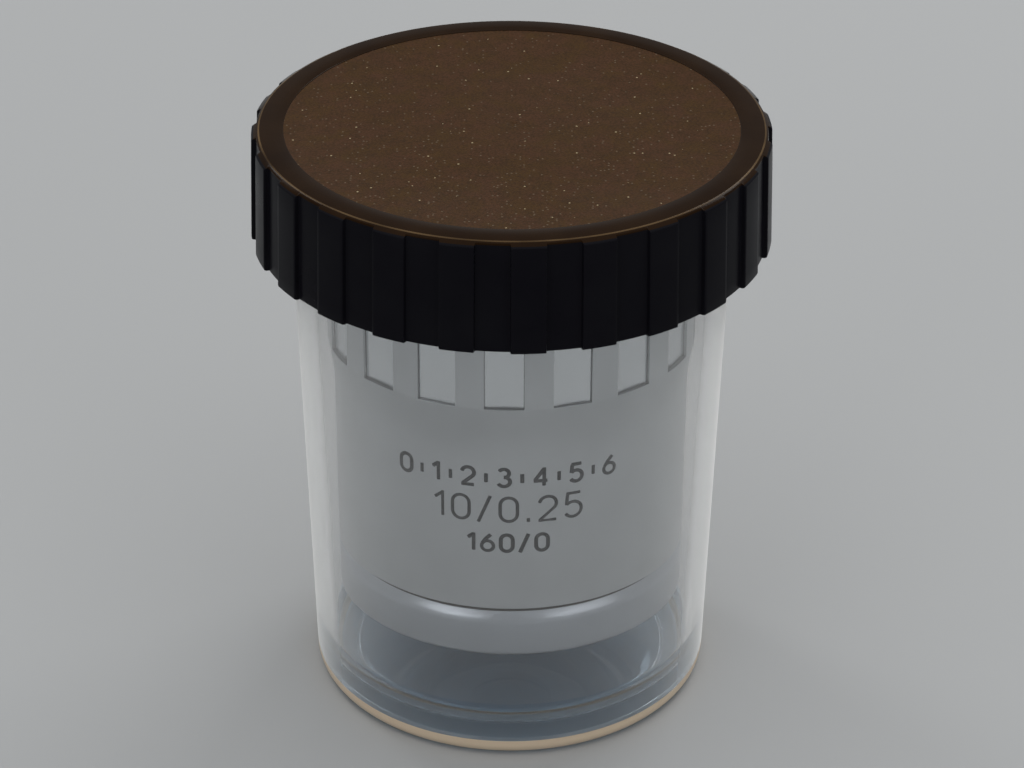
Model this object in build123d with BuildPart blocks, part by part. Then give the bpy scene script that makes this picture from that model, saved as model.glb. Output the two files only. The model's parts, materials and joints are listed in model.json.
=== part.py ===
from build123d import *
from math import sqrt, tan, radians, sin
import os

# Microscope objective hanging in its screw-capped case.
# Millimetres, +Z up, origin at the centre of the jar's base, the lettered front towards -Y.
# Heights are built up from the jar's floor, radii outwards from the objective's axis.

# Lens cells: a lens sits on its cell's lip and ends below its cell's rim
doublet_r = 6.4
doublet_cell_wall = 1.52
lip_width = 0.5
lip_height = 0.6
cell_head = 0.3
cell_2_wall = 2.32
lens_2_edge = 1.5
lens_2_front_sag = 0.5
lens_2_rear_sag = 1.5
crown_a_edge = 1.2
crown_a_front_sag = 0.9
doublet_a_inner_sag = 1.2
flint_a_edge = 1.8
crown_b_edge = 1.0
crown_b_front_sag = 1.0
doublet_b_inner_sag = 1.1
flint_b_edge = 1.7
flint_rear_sag = 0.3
cell_5_wall = 1.92
rear_flint_edge = 0.9
rear_flint_front_sag = 1.2
rear_inner_sag = 1.0
rear_crown_edge = 1.4
rear_crown_sag = 1.6
spacer_height = 1.6
spacer_step = 0.2          # spacer bores, outwards of the doublets
stop_height = 0.4
stop_hole_r = 4.8
retainer_height = 1.7
retainer_lip = 0.2         # retainer bore, inwards of the rear lens
retainer_sink = 0.9        # retainer, below the tube's end
spanner_slot = 1.2
spanner_depth = 0.8

# Front cell and front lens
front_cell_wall = 3.32      # spigot, around the lens
front_lens_edge = 1.9
front_lens_sag = 1.5
front_lip = 0.6
front_rim = 1.0            # flat front of the cell, around the lens
front_recess = 0.3         # front cell, behind the nose face
front_cone_height = 3.1
front_head = 1.3           # front cell's end, behind the lens

# Lens tube and its fastening to the plate
tube_neck_wall = 0.85
tube_step = 0.75           # shoulder that the shim lies on
tube_proud = 0.2           # tube end, past the lock ring
shim_height = 0.3
lock_ring_width = 1.05
lock_ring_height = 1.5

# Outer barrel and its flared grip ring
light_channel = 4.7        # ring channel between lens tube and barrel
barrel_wall = 2.2
barrel_length = 31.05
flare = 0.55               # how far the grip ring stands out from the barrel
flare_height = 3.9         # cone from barrel to grip ring
grip_height = 9.5          # straight grip ring, slotted over its whole height
grip_bevel = 0.4
slot_count = 18
slot_phase = -1.9          # degrees, first slot from the front
slot_width = 3.45
slot_floor = 0.2           # slot floor, outwards of the barrel surface
end_chamfer = 0.2
bore_relief = 0.2          # counterbores, past the piece that enters them

# Rear mount with the mounting thread and the windowed plate
plate_height = 2.0
plate_rim = 1.31           # between the tube's hole and the light windows
window_count = 3
window_arc = 84.0          # degrees between the centres of a window's round ends
window_width = 2.0
window_margin = 0.2
thread_wall = 1.1
thread_length = 4.3
thread_lead = 0.4
flange_step = 0.1          # flange, inwards of the barrel
flange_height = 2.45
flange_chamfer = 0.3
skirt_length = 5.9         # skirt inside the barrel, plate included
skirt_step = 0.7           # barrel counterbores, outwards of the light channel

# Nose ring with its ring mirror
nose_height = 4.75         # front face to groove
nose_chamfer = 0.5
groove_height = 0.4
groove_depth = 0.8
shoulder_bevel = 0.6
shoulder_height = 0.65
spigot_wall = 1.06
nose_lip = 0.8
nose_lip_width = 1.0
mirror_height = 6.9
mirror_front_width = 2.3
mirror_rear_width = 0.6
mirror_bow = 0.35
mirror_ring_height = 1.4
mirror_ring_width = 0.9

# Case jar
jar_wall = 1.6
jar_floor = 2.0
nose_room = 8.2            # free height between floor and nose
jar_clearance = 0.7        # jar wall to barrel, at the base
grip_clearance = 1.35      # jar wall to grip ring, at the mouth
neck_wall = 1.15
neck_cover = 0.5           # jar shoulder, above the cap's lower edge
jar_corner = 1.2
floor_fillet = 3.4
rim_round = 0.35
base_recess = 0.5
base_land = 3.2            # width of the ring that the jar stands on

# Case cap
cap_height = 10.3
cap_roof = 2.9
cap_wall = 2.5
cap_draft = 2.0            # degrees
thread_room = 1.15         # jar neck to cap bore, taken up by the coarse screw thread
lobe_count = 24
lobe_arc = 7.5             # degrees
lobe_phase = 3.6           # degrees, first lobe from the front
lobe_height = 0.4
lobe_bevel = 0.65
lobe_bevel_height = 0.42
edge_chamfer = 0.15
rim_width = 2.2            # around the pebbled disc on the roof
disc_sink = 0.1
boss_wall = 2.42

# Clearances
rim_gap = 0.1              # cap roof to jar rim
seat_gap = 0.05            # cap boss to objective shoulder
thread_end_gap = 0.15      # mounting thread to cap roof
thread_gap = 0.08          # mounting thread to cap boss, radial
fit_gap = 0.04             # turned pieces in each other, radial
cement_gap = 0.02          # between the lenses of a doublet

# Radii that follow
cell_r = doublet_r + fit_gap + doublet_cell_wall
lens_2_r = cell_r - cell_2_wall - fit_gap
rear_lens_r = cell_r - cell_5_wall - fit_gap
front_lens_r = cell_r - front_cell_wall - fit_gap
tube_bore_r = cell_r + fit_gap
tube_neck_r = tube_bore_r + tube_neck_wall
tube_r = tube_neck_r + tube_step
lock_ring_r = tube_neck_r + lock_ring_width
front_cell_r = front_lens_r + front_rim
spacer_bore_r = doublet_r + spacer_step
retainer_in_r = rear_lens_r - retainer_lip
channel_r = tube_r + light_channel
barrel_r = channel_r + barrel_wall
grip_r = barrel_r + flare
counterbore_r = channel_r + skirt_step
spigot_r = counterbore_r - fit_gap
plate_hole_r = tube_neck_r + fit_gap
window_in_r = plate_hole_r + plate_rim
window_out_r = window_in_r + window_width
mount_bore_r = window_out_r + window_margin
thread_r = mount_bore_r + thread_wall
flange_r = barrel_r - flange_step
mirror_r = spigot_r - spigot_wall
nose_lip_r = mirror_r - nose_lip_width
mirror_front_r = mirror_r - mirror_front_width
mirror_rear_r = mirror_r - mirror_rear_width
mirror_ring_in_r = mirror_r - mirror_ring_width
jar_base_in_r = barrel_r + jar_clearance
jar_base_r = jar_base_in_r + jar_wall
jar_mouth_in_r = grip_r + grip_clearance
jar_mouth_r = jar_mouth_in_r + jar_wall
neck_r = jar_mouth_in_r + neck_wall
cap_bore_r = neck_r + thread_room
gap_r = cap_bore_r + cap_wall
lobe_r = gap_r + lobe_height
cap_thread_r = thread_r + thread_gap
boss_r = cap_thread_r + boss_wall

# Heights of the objective
nose_z = jar_floor + nose_room
nose_top_z = nose_z + nose_height
barrel_z = nose_top_z + groove_height
flange_z = barrel_z + barrel_length
shoulder_z = flange_z + flange_height
thread_top_z = shoulder_z + thread_length
flare_top_z = flange_z - grip_height
flare_z = flare_top_z - flare_height
plate_z = flange_z - skirt_length
plate_top_z = plate_z + plate_height
mirror_z = nose_z + nose_lip
mirror_top_z = mirror_z + mirror_height
spigot_z = mirror_top_z + mirror_ring_height
front_z = nose_z + front_recess
tube_z = front_z + front_cone_height
lock_ring_top_z = plate_top_z + lock_ring_height
tube_top_z = lock_ring_top_z + tube_proud
shim_z = plate_z - shim_height

# Heights of the lens stack, from the front cell backwards
front_lens_z = front_z + front_lip
cell_2_z = front_lens_z + front_lens_edge + front_lens_sag + front_head
lens_2_z = cell_2_z + lip_height
cell_3_z = lens_2_z + lens_2_edge + lens_2_rear_sag + cell_head
crown_a_z = cell_3_z + crown_a_front_sag + cell_head
flint_a_z = crown_a_z + crown_a_edge + cement_gap
spacer_z = flint_a_z + flint_a_edge + flint_rear_sag + cell_head
cell_4_z = spacer_z + spacer_height
crown_b_z = cell_4_z + crown_b_front_sag + cell_head
flint_b_z = crown_b_z + crown_b_edge + cement_gap
stop_z = flint_b_z + flint_b_edge + flint_rear_sag + cell_head

# Heights of the rear group, from the tube's end forwards
retainer_z = tube_top_z - retainer_sink - retainer_height
rear_crown_z = retainer_z - cell_head - rear_crown_sag - rear_crown_edge
rear_flint_z = rear_crown_z - cement_gap - rear_flint_edge
cell_5_z = rear_flint_z - lip_height
spacer_tube_z = stop_z + stop_height

# Heights of the case
boss_z = shoulder_z + seat_gap
roof_z = thread_top_z + thread_end_gap
cap_top_z = roof_z + cap_roof
cap_edge_z = cap_top_z - cap_height
jar_rim_z = roof_z - rim_gap
neck_z = cap_edge_z + neck_cover

FRONT = -90.0              # polar angle of the front


def section(*corners):
    """Straight-sided half section in the XZ plane, to be turned about Z."""
    with BuildSketch(Plane.XZ) as half:
        with BuildLine():
            Polyline(*corners, close=True)
        make_face()
    return half.sketch


def ring(inside, outside, low, high):
    """Half section of a plain ring."""
    return section((inside, low), (outside, low), (outside, high), (inside, high))


def face_z(lens_r, edge_z, sag, at_r):
    """Height of a lens face at a radius, on the sphere through its edge and apex."""
    ball_r = (lens_r**2 + sag**2) / (2 * abs(sag))
    rise = sqrt(ball_r**2 - at_r**2) - sqrt(ball_r**2 - lens_r**2)
    return edge_z + rise * (1 if sag > 0 else -1)


def cell(low, high, lens_r, lens_z, lens_sag):
    """Half section of a lens cell. Its lip meets the lens edge, or the face where that bulges towards it."""
    bore_r = lens_r + fit_gap
    lip_r = lens_r - lip_width
    seat = min(lens_z, face_z(lens_r, lens_z, lens_sag, lip_r))
    return section((lip_r, low), (cell_r, low), (cell_r, high), (bore_r, high), (bore_r, seat), (lip_r, seat))


def lens(lens_r, low, high, low_sag, high_sag):
    """Half section of a lens with its edge from low to high. A positive sag puts the apex higher."""
    with BuildSketch(Plane.XZ) as half:
        with BuildLine():
            for edge_z, sag in ((low, low_sag), (high, high_sag)):
                if sag == 0:
                    Line((0, edge_z), (lens_r, edge_z))
                else:
                    radii = (0, lens_r / 2, lens_r)
                    ThreePointArc(*((at_r, face_z(lens_r, edge_z, sag, at_r)) for at_r in radii))
            Line((lens_r, low), (lens_r, high))
            Line((0, low + low_sag), (0, high + high_sag))
        make_face()
    return half.sketch


def spanner_notches(top_z, outside):
    """Two notches across a ring's top face, for a pin spanner."""
    with Locations((0, 0, top_z)):
        Box(2 * outside + 1, spanner_slot, 2 * spanner_depth, mode=Mode.SUBTRACT)


pieces = []


def finish(builder, name):
    """Label a finished piece and keep it for export."""
    builder.part.label = name
    pieces.append(builder.part)


# Case jar: tapered wall, foot ring, rounded inside floor and a stepped neck
with BuildPart() as case_jar:
    foot_in_r = jar_base_r - base_land
    revolve(
        section(
            (0, base_recess),
            (foot_in_r - base_recess, base_recess),
            (foot_in_r, 0),
            (jar_base_r, 0),
            (jar_mouth_r, neck_z),
            (neck_r, neck_z + jar_mouth_r - neck_r),
            (neck_r, jar_rim_z),
            (jar_mouth_in_r, jar_rim_z),
            (jar_mouth_in_r, neck_z),
            (jar_base_in_r, jar_floor),
            (0, jar_floor),
        ),
        axis=Axis.Z,
    )
    rounds = case_jar.edges().filter_by(GeomType.CIRCLE)
    base_edge = rounds.filter_by(lambda edge: abs(edge.radius - jar_base_r) < 0.001)
    floor_edge = rounds.filter_by(lambda edge: abs(edge.radius - jar_base_in_r) < 0.001)
    fillet(base_edge, jar_corner)
    fillet(floor_edge, floor_fillet)
    fillet(case_jar.faces().sort_by(Axis.Z)[-1].edges(), rim_round)
finish(case_jar, "case_jar")

# Case cap: the lobed envelope is turned, then the gaps between the lobes are cut
with BuildPart() as case_cap:
    lobe_top_z = cap_top_z - lobe_bevel_height
    lobe_top_r = lobe_r - (lobe_top_z - cap_edge_z) * tan(radians(cap_draft))
    rim_r = lobe_top_r - lobe_bevel
    disc_r = rim_r - rim_width
    revolve(
        section(
            (0, cap_top_z - disc_sink),
            (disc_r, cap_top_z - disc_sink),
            (disc_r, cap_top_z),
            (rim_r, cap_top_z),
            (lobe_top_r, lobe_top_z),
            (lobe_r, cap_edge_z + edge_chamfer),
            (lobe_r - edge_chamfer, cap_edge_z),
            (cap_bore_r, cap_edge_z),
            (cap_bore_r, roof_z),
            (boss_r, roof_z),
            (boss_r, boss_z),
            (cap_thread_r, boss_z),
            (cap_thread_r, roof_z),
            (0, roof_z),
        ),
        axis=Axis.Z,
    )
    lobe_pitch = 360 / lobe_count
    gap_width = 2 * gap_r * sin(radians((lobe_pitch - lobe_arc) / 2))
    gap_mid_r = gap_r - cap_height / 2 * tan(radians(cap_draft))
    first_gap = FRONT + lobe_phase + lobe_pitch / 2
    with Locations((0, 0, cap_edge_z + cap_height / 2)):
        with PolarLocations(gap_mid_r, lobe_count, start_angle=first_gap):
            Box(
                4 * lobe_height,
                gap_width,
                1.5 * cap_height,
                rotation=(0, -cap_draft, 0),
                align=(Align.MIN, Align.CENTER, Align.CENTER),
                mode=Mode.SUBTRACT,
            )
finish(case_cap, "case_cap")

# Outer barrel: turned sleeve, flared grip ring, milled slots
with BuildPart() as outer_barrel:
    revolve(
        section(
            (counterbore_r, barrel_z),
            (barrel_r - end_chamfer, barrel_z),
            (barrel_r, barrel_z + end_chamfer),
            (barrel_r, flare_z),
            (grip_r, flare_top_z),
            (grip_r, flange_z - grip_bevel),
            (grip_r - grip_bevel, flange_z),
            (counterbore_r, flange_z),
            (counterbore_r, plate_z - bore_relief),
            (channel_r, plate_z - bore_relief),
            (channel_r, spigot_z + bore_relief),
            (counterbore_r, spigot_z + bore_relief),
        ),
        axis=Axis.Z,
    )
    with Locations((0, 0, flare_top_z)):
        with PolarLocations(barrel_r + slot_floor, slot_count, start_angle=FRONT + slot_phase):
            Box(
                4 * flare,
                slot_width,
                grip_height + 1,
                align=(Align.MIN, Align.CENTER, Align.MIN),
                mode=Mode.SUBTRACT,
            )
finish(outer_barrel, "outer_barrel")

# Rear mount: thread, flange, skirt and the plate with its light windows
with BuildPart() as mount_flange:
    revolve(
        section(
            (plate_hole_r, plate_z),
            (spigot_r, plate_z),
            (spigot_r, flange_z),
            (flange_r, flange_z),
            (flange_r, shoulder_z - flange_chamfer),
            (flange_r - flange_chamfer, shoulder_z),
            (thread_r, shoulder_z),
            (thread_r, thread_top_z - thread_lead),
            (thread_r - thread_lead, thread_top_z),
            (mount_bore_r, thread_top_z),
            (mount_bore_r, plate_top_z),
            (plate_hole_r, plate_top_z),
        ),
        axis=Axis.Z,
    )
    with BuildSketch(Plane.XY.offset(plate_z)):
        window_r = (window_in_r + window_out_r) / 2
        for window in range(window_count):
            middle = FRONT + window * 360 / window_count
            with BuildLine(mode=Mode.PRIVATE) as window_line:
                CenterArc((0, 0), window_r, middle - window_arc / 2, window_arc)
            SlotArc(window_line.line.edge(), window_out_r - window_in_r)
    extrude(amount=plate_height, mode=Mode.SUBTRACT)
finish(mount_flange, "mount_flange")

# Nose ring: bevelled shoulder, groove, spigot into the barrel
with BuildPart() as nose_ring:
    revolve(
        section(
            (nose_lip_r, nose_z),
            (barrel_r - nose_chamfer, nose_z),
            (barrel_r, nose_z + nose_chamfer),
            (barrel_r, nose_top_z - shoulder_height),
            (barrel_r - shoulder_bevel, nose_top_z),
            (barrel_r - groove_depth, nose_top_z),
            (barrel_r - groove_depth, barrel_z),
            (spigot_r, barrel_z),
            (spigot_r, spigot_z),
            (mirror_r, spigot_z),
            (mirror_r, mirror_z),
            (nose_lip_r, mirror_z),
        ),
        axis=Axis.Z,
    )
finish(nose_ring, "nose_ring")

# Ring mirror: concave towards the axis
with BuildPart() as annular_mirror:
    mirror_out_r = mirror_r - fit_gap
    with BuildSketch(Plane.XZ):
        with BuildLine():
            Polyline(
                (mirror_front_r, mirror_z),
                (mirror_out_r, mirror_z),
                (mirror_out_r, mirror_top_z),
                (mirror_rear_r, mirror_top_z),
            )
            ThreePointArc(
                (mirror_rear_r, mirror_top_z),
                ((mirror_front_r + mirror_rear_r) / 2 + mirror_bow, mirror_z + mirror_height / 2),
                (mirror_front_r, mirror_z),
            )
        make_face()
    revolve(axis=Axis.Z)
finish(annular_mirror, "annular_mirror")

with BuildPart() as mirror_retainer:
    revolve(ring(mirror_ring_in_r, mirror_r - fit_gap, mirror_top_z, spigot_z), axis=Axis.Z)
    spanner_notches(spigot_z, mirror_r)
finish(mirror_retainer, "mirror_retainer")

# Lens tube, its focus shim and its ring nut
with BuildPart() as lens_tube:
    revolve(
        section(
            (tube_bore_r, tube_z),
            (tube_r, tube_z),
            (tube_r, shim_z),
            (tube_neck_r, shim_z),
            (tube_neck_r, tube_top_z),
            (tube_bore_r, tube_top_z),
        ),
        axis=Axis.Z,
    )
finish(lens_tube, "lens_tube")

with BuildPart() as parfocal_shim:
    revolve(ring(plate_hole_r, tube_r, shim_z, plate_z), axis=Axis.Z)
finish(parfocal_shim, "parfocal_shim")

with BuildPart() as lock_ring:
    revolve(ring(plate_hole_r, lock_ring_r, plate_top_z, lock_ring_top_z), axis=Axis.Z)
    spanner_notches(lock_ring_top_z, lock_ring_r)
finish(lock_ring, "lock_ring")

# Front cell: cone with the front lens set in it
with BuildPart() as front_cell:
    revolve(
        section(
            (front_lens_r - lip_width, front_z),
            (front_cell_r, front_z),
            (tube_r, tube_z),
            (cell_r, tube_z),
            (cell_r, cell_2_z),
            (front_lens_r + fit_gap, cell_2_z),
            (front_lens_r + fit_gap, front_lens_z),
            (front_lens_r - lip_width, front_lens_z),
        ),
        axis=Axis.Z,
    )
finish(front_cell, "front_cell")

with BuildPart() as front_lens:
    revolve(lens(front_lens_r, front_lens_z, front_lens_z + front_lens_edge, 0, front_lens_sag), axis=Axis.Z)
finish(front_lens, "front_lens")

# Second lens in its cell
with BuildPart() as cell_2:
    revolve(cell(cell_2_z, cell_3_z, lens_2_r, lens_2_z, lens_2_front_sag), axis=Axis.Z)
finish(cell_2, "cell_2")

with BuildPart() as lens_2:
    revolve(lens(lens_2_r, lens_2_z, lens_2_z + lens_2_edge, lens_2_front_sag, lens_2_rear_sag), axis=Axis.Z)
finish(lens_2, "lens_2")

# First doublet in its cell
with BuildPart() as cell_3:
    revolve(cell(cell_3_z, spacer_z, doublet_r, crown_a_z, -crown_a_front_sag), axis=Axis.Z)
finish(cell_3, "cell_3")

with BuildPart() as doublet_a_crown:
    high = crown_a_z + crown_a_edge
    revolve(lens(doublet_r, crown_a_z, high, -crown_a_front_sag, doublet_a_inner_sag), axis=Axis.Z)
finish(doublet_a_crown, "doublet_a_crown")

with BuildPart() as doublet_a_flint:
    high = flint_a_z + flint_a_edge
    revolve(lens(doublet_r, flint_a_z, high, doublet_a_inner_sag, flint_rear_sag), axis=Axis.Z)
finish(doublet_a_flint, "doublet_a_flint")

with BuildPart() as spacer_ring:
    revolve(ring(spacer_bore_r, cell_r, spacer_z, cell_4_z), axis=Axis.Z)
finish(spacer_ring, "spacer_ring")

# Second doublet in its cell
with BuildPart() as cell_4:
    revolve(cell(cell_4_z, stop_z, doublet_r, crown_b_z, -crown_b_front_sag), axis=Axis.Z)
finish(cell_4, "cell_4")

with BuildPart() as doublet_b_crown:
    high = crown_b_z + crown_b_edge
    revolve(lens(doublet_r, crown_b_z, high, -crown_b_front_sag, doublet_b_inner_sag), axis=Axis.Z)
finish(doublet_b_crown, "doublet_b_crown")

with BuildPart() as doublet_b_flint:
    high = flint_b_z + flint_b_edge
    revolve(lens(doublet_r, flint_b_z, high, doublet_b_inner_sag, flint_rear_sag), axis=Axis.Z)
finish(doublet_b_flint, "doublet_b_flint")

# Aperture stop, and the spacer tube fitted between it and the rear group
with BuildPart() as aperture_stop:
    revolve(ring(stop_hole_r, cell_r, stop_z, spacer_tube_z), axis=Axis.Z)
finish(aperture_stop, "aperture_stop")

with BuildPart() as spacer_tube:
    revolve(ring(spacer_bore_r, cell_r, spacer_tube_z, cell_5_z), axis=Axis.Z)
finish(spacer_tube, "spacer_tube")

# Rear group in its cell, and the ring that clamps the stack
with BuildPart() as cell_5:
    revolve(cell(cell_5_z, retainer_z, rear_lens_r, rear_flint_z, rear_flint_front_sag), axis=Axis.Z)
finish(cell_5, "cell_5")

with BuildPart() as rear_flint:
    high = rear_flint_z + rear_flint_edge
    revolve(lens(rear_lens_r, rear_flint_z, high, rear_flint_front_sag, rear_inner_sag), axis=Axis.Z)
finish(rear_flint, "rear_flint")

with BuildPart() as rear_crown:
    high = rear_crown_z + rear_crown_edge
    revolve(lens(rear_lens_r, rear_crown_z, high, rear_inner_sag, rear_crown_sag), axis=Axis.Z)
finish(rear_crown, "rear_crown")

with BuildPart() as cell_retainer:
    revolve(ring(retainer_in_r, cell_r, retainer_z, retainer_z + retainer_height), axis=Axis.Z)
    spanner_notches(retainer_z + retainer_height, cell_r)
finish(cell_retainer, "cell_retainer")

os.makedirs("parts", exist_ok=True)
for piece in pieces:
    export_step(piece, f"parts/{piece.label}.step")
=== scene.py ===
import json
from math import atan2, asin, cos, pi, radians, sin, sqrt, tan

import bmesh
import bpy
from bpy.props import FloatProperty, FloatVectorProperty, IntProperty, PointerProperty
from mathutils import Matrix, Vector


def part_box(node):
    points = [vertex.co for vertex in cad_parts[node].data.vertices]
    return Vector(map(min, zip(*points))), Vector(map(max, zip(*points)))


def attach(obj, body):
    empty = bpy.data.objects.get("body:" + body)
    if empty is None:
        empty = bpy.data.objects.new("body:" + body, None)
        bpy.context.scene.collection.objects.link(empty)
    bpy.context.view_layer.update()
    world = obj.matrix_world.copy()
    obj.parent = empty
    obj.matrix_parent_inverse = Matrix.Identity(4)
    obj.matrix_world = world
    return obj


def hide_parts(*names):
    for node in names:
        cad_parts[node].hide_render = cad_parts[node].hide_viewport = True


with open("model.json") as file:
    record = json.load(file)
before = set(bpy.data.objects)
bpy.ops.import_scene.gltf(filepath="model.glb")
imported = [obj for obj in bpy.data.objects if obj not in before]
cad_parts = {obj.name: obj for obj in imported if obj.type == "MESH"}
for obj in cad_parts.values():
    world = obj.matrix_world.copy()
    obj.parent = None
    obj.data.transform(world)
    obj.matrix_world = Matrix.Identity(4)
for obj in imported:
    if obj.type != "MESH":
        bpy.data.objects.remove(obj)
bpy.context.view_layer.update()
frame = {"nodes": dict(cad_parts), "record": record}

bl_info = {
    "name": "Cased microscope objective",
    "version": (1, 0, 0),
    "blender": (4, 5, 0),
    "location": "View3D > Sidebar > Objective",
    "description": "Finished surfaces of a microscope objective hanging in its screw-capped case",
    "category": "Add Mesh",
}

# Outlines are in millimetres, as radius from the optical axis and height above the table.
MM = 0.001
FRONT = -pi / 2
AROUND = 192

# Case: heights and radii
CAP_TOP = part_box("case_cap")[1].z / MM
CAP_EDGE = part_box("case_cap")[0].z / MM
CAP_ROOF = 53.3
CAP_BORE = 20.7
CAP_GAP = 23.2  # radius between the lobes, at the lower edge
CAP_DRAFT = radians(2.0)
CAP_RIM = 22.605
CAP_DISC = 20.405
DISC_Z = CAP_TOP - 0.1
BOSS_END = 48.9
BOSS_R = 16.0
BOSS_BORE = 13.58
FOOT_R = 18.8  # outside of the jar's wall, at the table
RECESS_R = 15.6
RECESS_Z = 0.5
WELL_R = 17.2  # inside of the jar's wall, at its floor
WELL_Z = 2.0
SPREAD = 1.2  # how much wider both are at the shoulder
SHOULDER_Z = 46.4
NECK_R = 19.55
JAR_RIM = 53.2
BASE_TOP = 5.4  # where the base's finish ends inside, over the fillet
FOOT_TOP = 1.65  # and outside

# Objective: heights and radii
BARREL_R = 16.5
BARREL_BORE = 15.0
BARREL_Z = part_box("outer_barrel")[0].z / MM
BARREL_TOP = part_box("outer_barrel")[1].z / MM
PLATE_SEAT = 40.3
GRIP_R = 17.05
GRIP_Z = BARREL_TOP - 9.5
FLARE_Z = GRIP_Z - 3.9
SLOT_FLOOR = BARREL_R + 0.2
NOSE_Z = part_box("nose_ring")[0].z / MM
NOSE_TOP = NOSE_Z + 4.75
NOSE_BORE = 12.9
GROOVE_R = 15.7
SPIGOT_R = 14.96
SPIGOT_BORE = 13.9
SPIGOT_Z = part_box("nose_ring")[1].z / MM
MIRROR_R = 13.86
MIRROR_THROAT = 11.6
LENS_R = 4.6


# Sizes and colours that a user would change


class CaseSettings(bpy.types.PropertyGroup):
    """Jar and cap of the case."""

    lobe_count: IntProperty(name="Lobes", description="Grip lobes around the cap", default=24, min=3)
    lobe_phase: FloatProperty(
        name="First lobe", description="Turn of the first lobe", default=radians(3.6), subtype="ANGLE"
    )
    lobe_height: FloatProperty(
        name="Lobe height", description="How far a lobe stands out", default=0.4 * MM, unit="LENGTH"
    )
    thread_pitch: FloatProperty(
        name="Thread pitch", description="Rise of the jar thread in one turn", default=3.0 * MM, unit="LENGTH"
    )
    thread_crest: FloatProperty(
        name="Thread height", description="Height of the jar thread", default=0.5 * MM, unit="LENGTH"
    )
    disc_color: FloatVectorProperty(
        name="Disc", description="Colour of the disc", default=(0.054, 0.0275, 0.0115), subtype="COLOR"
    )
    rim_color: FloatVectorProperty(
        name="Rim", description="Colour of the smooth rim", default=(0.013, 0.0055, 0.0016), subtype="COLOR"
    )
    side_color: FloatVectorProperty(
        name="Side", description="Colour of the cap's side", default=(0.0044, 0.004, 0.0062), subtype="COLOR"
    )


class ObjectiveSettings(bpy.types.PropertyGroup):
    """Outer barrel and engraving of the objective."""

    slot_count: IntProperty(name="Slots", description="Milled slots around the grip ring", default=18, min=3)
    slot_phase: FloatProperty(
        name="First slot", description="Turn of the first slot", default=radians(-1.9), subtype="ANGLE"
    )
    slot_width: FloatProperty(
        name="Slot width", description="Width of a milled slot", default=3.45 * MM, unit="LENGTH"
    )
    small_stroke: FloatProperty(
        name="Small strokes", description="Stroke width of the small rows", default=0.5 * MM, unit="LENGTH"
    )
    large_stroke: FloatProperty(
        name="Large strokes", description="Stroke width of the large row", default=0.43 * MM, unit="LENGTH"
    )
    metal_color: FloatVectorProperty(
        name="Metal", description="Colour of the satin metal", default=(0.53, 0.555, 0.575), subtype="COLOR"
    )
    # The same metal as the barrel, coloured darker and bluer: painted shade and reflection of the dark
    # surface near the jar's base
    nose_color: FloatVectorProperty(
        name="Nose", description="Colour of the nose ring", default=(0.44, 0.475, 0.52), subtype="COLOR"
    )
    # Lighter than the metal's colour: a painted highlight for the light that the milled floors catch
    slot_color: FloatVectorProperty(
        name="Slot floor", description="Colour of a slot's floor", default=(0.68, 0.71, 0.73), subtype="COLOR"
    )


class StageSettings(bpy.types.PropertyGroup):
    """Floor, lamps and camera."""

    floor_color: FloatVectorProperty(
        name="Floor", description="Colour of the floor", default=(0.4, 0.405, 0.405), subtype="COLOR"
    )
    key_power: FloatProperty(
        name="Back lamp", description="Power of the lamp behind on the right", default=1.35, unit="POWER"
    )
    fill_power: FloatProperty(
        name="Front lamps", description="Power of each front lamp", default=0.6, unit="POWER"
    )
    sky_strength: FloatProperty(name="Sky", description="Strength of the surroundings overhead", default=1.25)


# Meshes


def new_piece(name, mesh, material, body, nodes, sharp):
    """A finished piece that rides on a body, and stands for the CAD nodes that it replaces."""
    piece = bpy.data.objects.new(name, mesh)
    bpy.context.scene.collection.objects.link(piece)
    mesh.shade_smooth()
    mesh.set_sharp_from_angle(angle=radians(sharp))
    if not mesh.materials:
        mesh.materials.append(material)
    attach(piece, body)
    if nodes:
        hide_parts(*nodes)


def new_mesh(name, points, faces, solid=True):
    """A mesh from points in millimetres, with its doubles merged and its faces outwards."""
    shape = bmesh.new()
    corners = [shape.verts.new(Vector(point) * MM) for point in points]
    for face in faces:
        shape.faces.new([corners[index] for index in face])
    bmesh.ops.remove_doubles(shape, verts=shape.verts, dist=1e-7)
    if solid:
        bmesh.ops.recalc_face_normals(shape, faces=shape.faces)
    mesh = bpy.data.meshes.new(name)
    shape.to_mesh(mesh)
    shape.free()
    return mesh


def rounded(corners, steps):
    """An outline with each corner (radius, height, rounding) turned into an arc."""
    points = []
    for index, (radius, height, rounding) in enumerate(corners):
        here = Vector((radius, height))
        if rounding == 0:
            points.append(tuple(here))
            continue
        back = (Vector(corners[index - 1][:2]) - here).normalized()
        ahead = (Vector(corners[(index + 1) % len(corners)][:2]) - here).normalized()
        half = back.angle(ahead) / 2
        centre = here + (back + ahead).normalized() * (rounding / sin(half))
        start = here + back * (rounding / tan(half)) - centre
        end = here + ahead * (rounding / tan(half)) - centre
        first = atan2(start.y, start.x)
        sweep = atan2(start.cross(end), start.dot(end))
        for step in range(steps + 1):
            angle = first + sweep * step / steps
            points.append((centre.x + rounding * cos(angle), centre.y + rounding * sin(angle)))
    return points


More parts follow.
